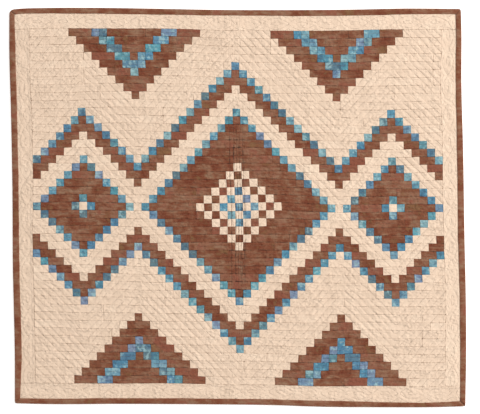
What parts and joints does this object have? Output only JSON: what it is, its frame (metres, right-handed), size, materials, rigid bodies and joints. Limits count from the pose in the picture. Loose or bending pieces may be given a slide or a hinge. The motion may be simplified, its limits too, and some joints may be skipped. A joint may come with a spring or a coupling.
{
  "type": "patchwork wall quilt",
  "caption": "Flat pieced cotton quilt with stepped diamonds and zigzags in brown and blue on cream, a plain border, echo quilting and a folded brown binding, lying on its back.",
  "frame": {"origin": "on the surface that the quilt lies on, under the middle of its bounding box", "axes": "+Z out of the patchwork face, +X along the long side, +Y towards the quilt's top edge"},
  "size_m": [1.1246, 0.9832, 0.006],
  "materials": {
    "pieced_cotton": "plain woven cotton patches in cream, mottled brown and mottled blue, quilted, matt",
    "binding_batik": "mottled brown dyed cotton, folded double, matt"
  },
  "bodies": {
    "root": {"quilt_body": "pieced_cotton", "binding_bottom": "binding_batik", "binding_right": "binding_batik", "binding_top": "binding_batik", "binding_left": "binding_batik"}
  },
  "joints": []
}
